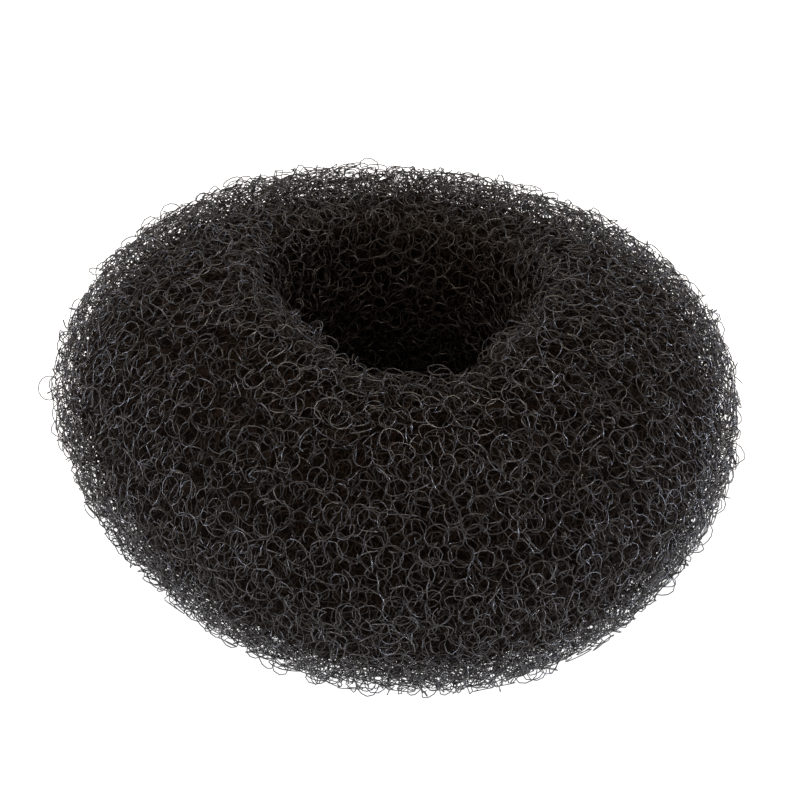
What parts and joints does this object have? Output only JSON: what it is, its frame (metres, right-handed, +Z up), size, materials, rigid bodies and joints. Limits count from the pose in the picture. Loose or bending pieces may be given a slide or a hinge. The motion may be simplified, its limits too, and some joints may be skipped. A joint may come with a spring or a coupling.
{
  "type": "hair donut bun maker",
  "caption": "Soft ring of rolled black net with a funnel mouth, put round a ponytail so that the hair wraps over it into a bun.",
  "frame": {"origin": "on the surface that the ring rests on, under the middle of its outline", "axes": "+Z up through the hole, -Y towards the front of the ring, +X to its right as seen from the front"},
  "size_m": [0.091, 0.0888, 0.0483],
  "materials": {
    "net": "matt black knitted nylon net, rolled on itself"
  },
  "bodies": {
    "root": {"net_ring": "net"}
  },
  "joints": []
}
